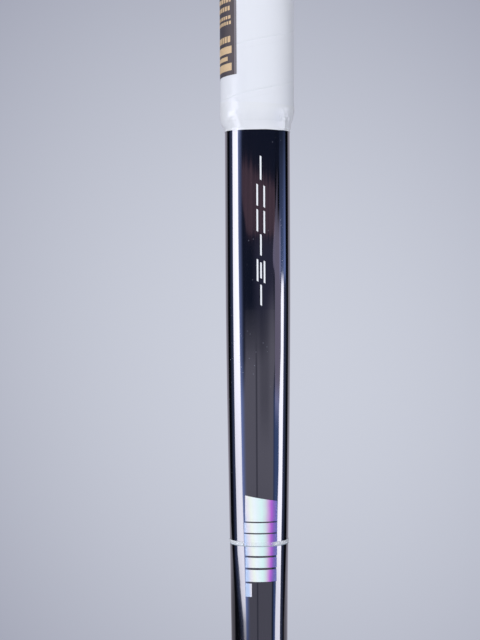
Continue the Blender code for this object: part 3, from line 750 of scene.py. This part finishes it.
def fold_height(turn, height):
    """Sum of the folds at a point of the tape."""
    total = 0.0
    for first_turn, first_z, last_turn, last_z, width, tall in TAPE_FOLDS:
        arc = math.radians(turn - first_turn) * GRIP_RADIUS
        along = (math.radians(last_turn - first_turn) * GRIP_RADIUS, last_z - first_z)
        length = along[0] ** 2 + along[1] ** 2
        share = min(max((arc * along[0] + (height - first_z) * along[1]) / length, 0.0), 1.0)
        off = math.hypot(arc - share * along[0], height - first_z - share * along[1])
        total += tall * bell(off, width)
    return total


def tape_relief(turn, height):
    """How far the tape stands off its plain form: drawn lines, slack and folds."""
    drawn = noise.noise(Vector((turn * 0.45, height * 90.0, 3.1))) * TAPE_WRINKLE
    slack = noise.noise(Vector(around(turn, 1.0, height * 40.0)) * 2.0) * TAPE_WRINKLE
    lump = TAPE_SLACK * bell(centred(turn) - TAPE_SLACK_DEG, TAPE_SLACK_SPREAD_DEG)
    return drawn + slack + lump + fold_height(centred(turn), height)


def make_finishing_tape(material):
    """Tape round the end of the strip, in two layers, that steps down on the shaft."""

    def section(turn):
        """Points across the tape, up the inside and down the outside."""
        outside = []
        edge = TAPE_EDGE_WANDER * noise.noise(Vector((*around(turn, 2.2, 0.0)[:2], 7.3)))
        top_z = tape_top(turn) + edge
        end_z = TAPE_END_Z + TAPE_END_TILT * math.cos(math.radians(turn - TAPE_END_TILT_DEG)) + edge
        for share in evenly(0.0, 1.0, TAPE_STEPS_ALONG):
            height = mix(top_z, end_z, share)
            upper_layer = smooth((height - TAPE_LOWER_LAYER_Z - edge) / TAPE_LAYER_EASE)
            film = TAPE_FILM + TAPE_LAYER_STEP * upper_layer
            lip = TAPE_LIP * bell(height - end_z - TAPE_LIP_RISE, TAPE_LIP_WIDTH)
            fade = smooth(share * 12.0) * smooth((1.0 - share) * 9.0)
            inner = pulled_radius(turn, height)
            radius = inner + film + lip + tape_relief(turn, height) * fade
            outside.append((max(radius, inner + TAPE_THINNEST), height))
        heights = evenly(end_z, top_z, TAPE_INNER_STEPS)
        inside = [(pulled_radius(turn, height) + TAPE_CLEARANCE, height) for height in heights]
        return inside + outside

    tape = turned_shell(section, TAPE_STEPS_ROUND).piece("finishing_tape", material, "white_tape", 60.0)
    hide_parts("grip_end_tape")


def label_low(turn):
    """Height of the label's lower edge."""
    arc = math.radians(turn - LABEL_FRONT_EDGE_DEG) * label_radius()
    return LABEL_FRONT_LOW_Z + LABEL_RISE * arc


def label_radius():
    """Radius on which the label lies, clear of the strip."""
    return GRIP_RADIUS + STRIP_LAP_HEIGHT + LABEL_CLEARANCE


def make_label(material):
    """Film bent round the left side of the grip."""
    inner = label_radius()
    outer = inner + LABEL_FILM
    rings = []
    for turn in evenly(LABEL_BACK_EDGE_DEG, LABEL_FRONT_EDGE_DEG, LABEL_STEPS):
        low = label_low(turn)
        heights = evenly(low, low + LABEL_HEIGHT, LABEL_ROWS)
        section = [(inner, heights[0])] + [(outer, height) for height in heights] + [(inner, heights[-1])]
        rings.append([around(turn, radius, height) for radius, height in section])
    shell = Shell()
    shell.loft(rings)
    label = shell.piece("label_sheet", material, "dark_label")
    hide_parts("size_label")


def add_patch(shell, corners, radius_at, step):
    """A thin solid patch on a round surface. Its corners are (arc, height) in metres, with the arc from the
    front line: lower left, lower right, upper right and upper left."""
    low_left, low_right, high_right, high_left = corners
    columns = max(2, math.ceil(abs(low_right[0] - low_left[0]) / step))
    rows = max(2, math.ceil(abs(high_left[1] - low_left[1]) / PRINT_ROW_HEIGHT))
    rings = []
    for share in evenly(0.0, 1.0, columns):
        low = [mix(a, b, share) for a, b in zip(low_left, low_right)]
        high = [mix(a, b, share) for a, b in zip(high_left, high_right)]
        outer, inner = [], []
        for up in evenly(0.0, 1.0, rows):
            arc, height = mix(low[0], high[0], up), mix(low[1], high[1], up)
            radius = radius_at(height)
            turn = math.degrees(arc / radius)
            outer.append(around(turn, radius + PRINT_LIFT + PRINT_FILM, height))
            inner.append(around(turn, radius + PRINT_LIFT, height))
        rings.append(outer + inner[::-1])
    shell.loft(rings)


# Pinstripes down the front of the shaft: three broken lines side by side. Each bar has the arc of its left
# edge and how far its two ends lie under the top, in metres
PINSTRIPE_TOP_Z = -0.1861
PINSTRIPE_WIDTH = 0.00070
PINSTRIPE_SLANT = 0.0004
PINSTRIPE_STEP = 0.0004
PINSTRIPE_BARS = (
    (-0.00065, 0.0120, 0.0212),
    (-0.00065, 0.0228, 0.0322),
    (-0.00065, 0.0442, 0.0536),
    (0.00085, 0.0000, 0.0102),
    (0.00085, 0.0336, 0.0426),
    (0.00085, 0.0456, 0.0524),
    (0.00085, 0.0552, 0.0640),
    (0.00235, 0.0128, 0.0220),
    (0.00235, 0.0236, 0.0330),
    (0.00235, 0.0450, 0.0544),
)


def make_pinstripes(material):
    """White bars with slanting ends."""
    shell = Shell()
    for left, first, last in PINSTRIPE_BARS:
        right = left + PINSTRIPE_WIDTH
        high, low = PINSTRIPE_TOP_Z - first, PINSTRIPE_TOP_Z - last
        corners = ((left, low), (right, low - PINSTRIPE_SLANT), (right, high - PINSTRIPE_SLANT), (left, high))
        add_patch(shell, corners, shaft_radius, PINSTRIPE_STEP)
    shell.piece("white_pinstripes", material, "white_print")


# Foil bars on the front of the shaft, from the top down: the arcs of the left and right ends, and how far the
# upper left, upper right, lower right and lower left corners lie under the top, in metres
FOIL_BARS = (
    (-0.0063, 0.0084, (0.0, 0.0026, 0.0113, 0.0113)),
    (-0.0068, 0.0083, (0.0119, 0.0119, 0.0162, 0.0162)),
    (-0.0068, 0.0083, (0.0168, 0.0168, 0.0218, 0.0218)),
    (-0.0063, 0.0082, (0.0218, 0.0218, 0.0262, 0.0262)),
    (-0.0063, 0.0080, (0.0270, 0.0270, 0.0314, 0.0314)),
    (-0.0063, 0.0079, (0.0323, 0.0323, 0.0375, 0.0375)),
    (-0.0063, -0.0034, (0.0383, 0.0383, 0.0441, 0.0441)),
)


def make_foil_bars(material):
    """Foil bars across the front of the shaft, the last one short."""
    shell = Shell()
    for left, right, drops in FOIL_BARS:
        high_left, high_right, low_right, low_left = (FOIL_TOP_Z - drop for drop in drops)
        corners = ((left, low_left), (right, low_right), (right, high_right), (left, high_left))
        add_patch(shell, corners, shaft_radius, WIDE_PRINT_STEP)
    shell.piece("foil_bars", material, "rainbow_foil")


def make_label_marks(material):
    """Plain gold bars and broken lines on the label."""
    shell = Shell()
    radius = label_radius() + LABEL_FILM
    right = math.radians(LABEL_FRONT_EDGE_DEG - LABEL_MARGIN_DEG) * radius
    left = math.radians(LABEL_BACK_EDGE_DEG + LABEL_BACK_MARGIN_DEG) * radius
    base = LABEL_FRONT_LOW_Z - LABEL_RISE * (math.radians(LABEL_MARGIN_DEG) * radius)

    def bar(first, last, low, high):
        """A bar whose lower and upper edges rise with the label's."""
        corners = (
            (first, base + low + LABEL_RISE * (first - right)),
            (last, base + low + LABEL_RISE * (last - right)),
            (last, base + high + LABEL_RISE * (last - right)),
            (first, base + high + LABEL_RISE * (first - right)),
        )
        add_patch(shell, corners, lambda height: radius, WIDE_PRINT_STEP)

    for low, tall, short in LABEL_BARS:
        bar(right - LABEL_BAR_LENGTH, right - short, low, low + tall)
    rng = np.random.default_rng(7)
    for repeat in range(LABEL_REPEATS):
        for line_low, tall in LABEL_LINES:
            low = line_low + repeat * LABEL_REPEAT_HEIGHT
            if low + tall > LABEL_HEIGHT - LABEL_TOP_MARGIN:
                continue
            place = right - rng.uniform(0.0, LABEL_LINE_RAGGED)
            while place > left + LABEL_LINE_END:
                length = rng.uniform(*LABEL_LINE_PIECES) + tall * LABEL_LINE_PER_THICKNESS
                bar(place - length, place, low, low + tall)
                place -= length + LABEL_LINE_GAP
    shell.piece("label_gold_marks", material, "gold_print")


def make_band(material):
    """Thin ring of pale film."""
    low, high = BAND_LOW_Z, BAND_HIGH_Z
    inner = shaft_radius((low + high) / 2) + PRINT_LIFT + PRINT_FILM + BAND_CLEARANCE
    outer = inner + BAND_FILM
    section = [(inner, low), (outer - BAND_EDGE, low), (outer, low + BAND_EDGE)]
    section += [(outer, high - BAND_EDGE), (outer - BAND_EDGE, high), (inner, high)]
    band = turned_shell(lambda turn: section, SHAFT_STEPS_ROUND).piece("band_ring", material, "pale_band")
    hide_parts("pale_band")


def dress(node, material):
    """Gives a CAD node that stays its finish."""
    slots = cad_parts[node].data.materials
    slots.clear()
    slots.append(material)


# Studio


# Places below are degrees round the stick from the front, positive to the right, and degrees over the level
BOX_SOFT_EDGE = 1.5
LEFT_BOX_INNER = -74.0
LEFT_BOX_OUTER = -99.8
LEFT_BOX_LEVEL = 6.3
RIGHT_BOX_INNER = 88.5
RIGHT_BOX_OUTER = 103.8
RIGHT_BOX_LEVEL = 6.7
FLOOR_TURN = 22.0
FLOOR_SHADOW_TURN = -7.5
LEFT_RIM = 136.0
RIGHT_RIM = 136.5

BOX_TINT = (1.00, 0.99, 1.15)
LEFT_FRINGE_TINT = (0.36, 0.47, 1.00)
RIGHT_FRINGE_TINT = (0.40, 0.50, 1.00)
HAZE_TINT = (0.32, 0.45, 1.00)
NAVY_TINT = (0.26, 0.42, 1.05)
FRONT_TINT = (0.028, 0.042, 0.110)
DUSK_TINT = (0.110, 0.100, 0.170)
FLOOR_TINT = (0.74, 0.70, 0.86)
SHELF_TINT = (0.86, 0.76, 1.15)
BROWN_TINT = (0.44, 0.24, 0.28)
RIM_TINT = (0.42, 0.40, 0.48)
GROUND_TINT = (0.50, 0.52, 0.60)
CEILING_TINT = (1.10, 1.12, 1.18)

# Backdrop behind the stick: where it is brightest, how its bright part leans, and how far it reaches
BACKDROP_TURN = 1.265
BACKDROP_HEIGHT = -3.24
BACKDROP_LEAN = 0.11
BACKDROP_LEAN_HEIGHT = -2.0
BACKDROP_REACH_ACROSS = 30.2
BACKDROP_REACH_UP = 33.4


def over(x, soft=BOX_SOFT_EDGE):
    """1 where x is above 0, with a soft edge."""
    return x.ease(-soft, soft)


def under(x, soft=BOX_SOFT_EDGE):
    """1 where x is below 0, with a soft edge."""
    return x.ease(soft, -soft)


def below(height, start):
    """Degrees under that height."""
    return (start - height).at_least(0.0)


def left_lights(turn, height):
    """The left soft box, its blue fringes, and the place of its inner edge."""
    high = height.ease(4.1, 4.6)
    deep = height.ease(-13.4, -15.5)
    inner = LEFT_BOX_INNER + 0.74 * below(height, 1.0).at_most(14.5) + 2.0 * below(height, -9.0).at_most(4.5)
    inner = inner + 10.5 * high - 9.0 * deep
    outer = LEFT_BOX_OUTER + 1.3 * below(height, -7.5).at_most(5.0) + 11.5 * below(height, -10.5).at_most(3.0)
    outer = outer + 12.0 * high - 29.0 * deep
    past_outer, past_inner = turn - outer, turn - inner
    box = over(past_outer) * under(past_inner)
    box = box * (height.ease(-13.6, -12.0) + deep) * height.ease(60.0, 35.0)
    box = box * (1.0 - 0.34 * high) * (1.0 - 0.25 * height.ease(-3.0, -8.5))
    box = box * (LEFT_BOX_LEVEL + 1.7 * past_outer.ease(0.0, 26.0))
    fringe = past_inner.ease(20.0, 0.0) * over(past_inner) * (2.1 + 0.9 * height.ease(-4.0, -6.0))
    fringe = fringe + past_outer.ease(-24.0, 0.0) * under(past_outer) * 0.55
    fringe = fringe * height.ease(60.0, 35.0) * height.ease(-14.0, -12.0)
    return box, fringe, inner


def right_lights(turn, height):
    """The right soft box, which starts lower, its blue fringe, and the distance to its inner edge."""
    deep = height.ease(-13.4, -15.5)
    inner = RIGHT_BOX_INNER + 2.5 * height.ease(-1.8, -0.95) - 3.3 * below(height, -3.8).at_most(2.3)
    inner = inner - 3.0 * below(height, -8.0).at_most(5.2) + 26.0 * deep
    outer = RIGHT_BOX_OUTER - 0.6 * below(height, -2.0).at_most(11.0) - 1.5 * below(height, -9.0).at_most(4.2)
    outer = outer + 17.5 * deep
    before, past = inner - turn, turn - outer
    box = under(before) * under(past) * height.ease(-0.6, -1.15)
    box = box * (RIGHT_BOX_LEVEL - 0.3 * before.ease(0.0, -16.0)) * (1.0 - 0.2 * height.ease(-10.0, -12.0))
    fringe = past.ease(24.0, 0.0) * over(past) * height.ease(-0.6, -1.15)
    fringe = fringe * (0.55 - 0.12 * height.ease(-8.0, -11.0))
    return box, fringe, before


def right_blues(turn, height, before_right):
    """The blue haze over the right soft box, and the navy strip beside its lower part."""
    haze = turn.ease(80.0, 86.0) * turn.ease(119.0, 113.0) * height.ease(-1.15, -0.6) * height.ease(6.0, -2.2)
    haze = haze * (1.2 + 1.0 * turn.ease(96.0, 112.0))
    navy = turn.ease(52.0, 66.0) * over(before_right) * height.ease(-4.8, -6.0)
    return haze, navy * (1.0 + 0.35 * height.ease(-11.0, -12.5))


def grey_floor(turn, height, left_inner):
    """The grey floor between the two soft boxes, with a darker middle and a thin dark line."""
    start = -1.8 + 1.2 * turn.ease(10.0, 55.0)
    left = left_inner + 14.0 - 9.0 * height.ease(-4.0, -6.0)
    right = 62.0 - 5.5 * height.ease(-4.2, -5.6) - 1.6 * below(height, -9.0)
    floor = (height - start).ease(0.0, -3.4) * (turn - left).ease(0.0, 14.0)
    floor = floor * under(turn - right, 3.0) * (1.0 - 0.3 * height.ease(-8.0, -12.0))
    floor = floor * (0.9 - 0.25 * abs(turn - FLOOR_TURN).ease(26.0, 8.0) * height.ease(-8.0, -6.0))
    return floor * (1.0 - 0.55 * abs(turn - FLOOR_SHADOW_TURN).ease(4.5, 1.5) * height.ease(-3.0, -5.0))


def violet_shelf(turn, height, before_right):
    """A violet shape beside the right soft box, with a narrow tip above."""
    left = 72.0 - 8.0 * below(height, 2.4).at_most(2.2) + 8.0 * height.ease(-0.2, -0.9)
    shelf = over(turn - left) * before_right.ease(0.0, 3.0) * turn.ease(90.0, 86.0)
    tip = 0.6 * height.ease(2.9, 2.5) * turn.ease(76.0, 73.0) * height.ease(0.6, 1.7)
    return shelf * (height.ease(1.7, 0.6) + tip) * height.ease(-6.9, -5.7)


def brown_shape(turn, height, wobble):
    """A brown shape with a ragged outline in front."""
    top = 2.75 - 0.0068 * turn + 0.25 * wobble
    left = -61.0 + 16.0 * below(height, 2.0) + 1.5 * wobble
    brown = under(height - top, 0.25) * (height + wobble * 0.15).ease(0.6, 0.9)
    brown = brown * (turn - left).ease(-1.0, 5.0) * (turn + wobble * 2.0).ease(66.0, 62.0)
    return brown * (0.85 + 0.22 * wobble)


def pale_rims(turn, height):
    """What shows along both outlines of the shaft."""
    left_rim = LEFT_RIM + 0.7 * below(height, 0.0).at_most(9.0) - 9.2 * below(height, -9.0).at_most(2.5)
    right_rim = RIGHT_RIM - 6.5 * below(height, -9.7).at_most(2.6)
    rims = over(0.0 - turn - left_rim, 3.0) * (1.0 - 0.45 * height.ease(-10.0, -11.5))
    return rims + over(turn - right_rim, 3.0) * (1.0 - 0.15 * height.ease(-10.5, -12.5))


def studio_reflections(recipe, direction, turn, height):
    """What gloss shows: two tall soft boxes with blue fringes, a dark wall and a grey floor under it."""
    wobble = recipe.grain(direction, 9.0, 2.0) * 3.0 - 1.5
    left_box, left_fringe, left_inner = left_lights(turn, height)
    right_box, right_fringe, before_right = right_lights(turn, height)
    haze, navy = right_blues(turn, height, before_right)
    front = abs(turn).ease(67.0, 62.0)
    front = front + 0.8 * turn.ease(62.0, 67.0) * turn.ease(86.0, 80.0) * height.ease(2.4, 3.2)
    dusk = turn.ease(-25.0, 5.0) * turn.ease(60.0, 54.0) * height.ease(0.9, 0.3) * height.ease(-4.0, -1.5)
    shown = (
        (BOX_TINT, left_box),
        (BOX_TINT, right_box),
        (LEFT_FRINGE_TINT, left_fringe),
        (RIGHT_FRINGE_TINT, right_fringe),
        (HAZE_TINT, haze),
        (NAVY_TINT, navy),
        (FRONT_TINT, front),
        (DUSK_TINT, dusk),
        (FLOOR_TINT, grey_floor(turn, height, left_inner)),
        (SHELF_TINT, violet_shelf(turn, height, before_right)),
        (BROWN_TINT, brown_shape(turn, height, wobble)),
        (RIM_TINT, pale_rims(turn, height)),
        (GROUND_TINT, height.ease(-13.4, -15.0)),
        (CEILING_TINT, height.ease(28.0, 45.0)),
    )
    return sum(tint * share for tint, share in shown)


def backdrop(recipe, direction, height):
    """The pale wall behind the stick, brightest near the middle of the picture."""
    x, y, _ = direction.axes()
    across = recipe.arithmetic("ARCTAN2", x, y) * math.degrees(1.0)
    lean = BACKDROP_LEAN * (height - BACKDROP_LEAN_HEIGHT)
    sideways = (across - BACKDROP_TURN + lean) / BACKDROP_REACH_ACROSS
    upward = (height - BACKDROP_HEIGHT) / BACKDROP_REACH_UP
    distance = (sideways * sideways + upward * upward) ** 0.5
    wall = recipe.blend((0.602, 0.628, 0.715), (0.05, 0.05, 0.13), distance.ease(0.0, 1.0))
    return wall.at_least((0.34, 0.36, 0.43))


def make_world():
    """Gloss sees the studio, the camera sees the backdrop, and the rest is lit by a plain room."""
    world = bpy.data.worlds.new("studio")
    world.use_nodes = True
    bpy.context.scene.world = world
    recipe = Recipe(world.node_tree)
    direction = recipe.node("ShaderNodeTexCoord", {}, {})
    _, _, z = direction.axes()
    turn = recipe.turn(direction)
    height = recipe.arithmetic("ARCSINE", z) * math.degrees(1.0)
    room = recipe.blend((0.24, 0.245, 0.26), (0.36, 0.365, 0.38), height.ease(-60.0, 60.0))
    glossy = recipe.node("ShaderNodeLightPath", {}, {}, 3)
    camera = recipe.node("ShaderNodeLightPath", {}, {}, 0)
    colour = recipe.blend(room, studio_reflections(recipe, direction, turn, height), glossy)
    colour = recipe.blend(colour, backdrop(recipe, direction, height), camera)
    shader = recipe.node("ShaderNodeBackground", {}, {"Color": colour, "Strength": 1.0})
    recipe.node("ShaderNodeOutputWorld", {}, {"Surface": shader})


def make_lamps():
    """Broad lamps round the stick. Gloss shows the world's soft boxes in their place."""
    for name, turn_deg, height_deg, level in LAMPS:
        data = bpy.data.lights.new(name, "SUN")
        data.energy = level * math.pi
        data.angle = math.radians(LAMP_SPREAD_DEG)
        lamp = bpy.data.objects.new(name, data)
        lamp.visible_glossy = False
        height = math.radians(height_deg)
        towards = Vector(around(turn_deg, math.cos(height), math.sin(height)))
        lamp.rotation_euler = towards.to_track_quat("Z", "Y").to_euler()
        bpy.context.scene.collection.objects.link(lamp)


def floor_paint():
    """Pale matt paint that fades out at the floor's rim."""
    material, recipe = new_recipe("pale_floor_paint")
    place = recipe.place()
    x, y, _ = place.axes()
    clouds = recipe.grain(place, 3.0, 3.0)
    from_middle = (x * x + y * y) ** 0.5
    recipe.surface({
        "Base Color": recipe.blend((0.66, 0.69, 0.78), (0.71, 0.74, 0.83), clouds),
        "Roughness": 0.85,
        "Specular IOR Level": 0.1,
        "Alpha": from_middle.ease(FLOOR_RADIUS, FLOOR_RADIUS * FLOOR_CLEAR_SHARE),
    })
    return material


def make_floor():
    """A round floor just under the blade."""
    height = CAD_BOX[0].z - FLOOR_GAP
    corners = [(0.0, 0.0, height)]
    for k in range(FLOOR_STEPS):
        corners.append(around(k * 360.0 / FLOOR_STEPS, FLOOR_RADIUS, height))
    faces = [(0, 1 + k, 1 + (k + 1) % FLOOR_STEPS) for k in range(FLOOR_STEPS)]
    mesh = bpy.data.meshes.new("studio_floor")
    mesh.from_pydata(corners, [], faces)
    mesh.materials.append(floor_paint())
    floor = bpy.data.objects.new("studio_floor", mesh)
    bpy.context.scene.collection.objects.link(floor)


def make_camera():
    """The camera that the picture is taken with."""
    data = bpy.data.cameras.new("camera")
    data.lens = LENS_MM
    data.sensor_width = SENSOR_MM
    camera = bpy.data.objects.new("camera", data)
    camera.location = (CAMERA_SIDE, -CAMERA_DISTANCE, CAMERA_HEIGHT)
    camera.rotation_euler = (math.radians(90.0 - CAMERA_DOWN_DEG), math.radians(CAMERA_ROLL_DEG), 0.0)
    bpy.context.scene.collection.objects.link(camera)
    bpy.context.scene.camera = camera


make_camera()
make_world()
make_lamps()
make_floor()

make_shaft(black_lacquer())
make_grip_strip(white_strip())
make_finishing_tape(white_film())
make_label(label_film())
make_label_marks(gold_print())
make_pinstripes(white_print())
make_foil_bars(rainbow_foil())
make_band(band_film())

plug_black = ((0.020, 0.020, 0.023), (0.034, 0.034, 0.038))
blade_charcoal = ((0.026, 0.027, 0.031), (0.046, 0.047, 0.052))
zinc = zinc_plate()
dress("end_plug", moulded_plastic("black_plug_plastic", plug_black, 900.0, 0.42))
dress("blade", moulded_plastic("charcoal_blade_plastic", blade_charcoal, 700.0, 0.36))
dress("neck_glue", amber_glue())
dress("blade_screw_1", zinc)
dress("blade_screw_2", zinc)

bpy.context.scene.view_settings.view_transform = "Standard"
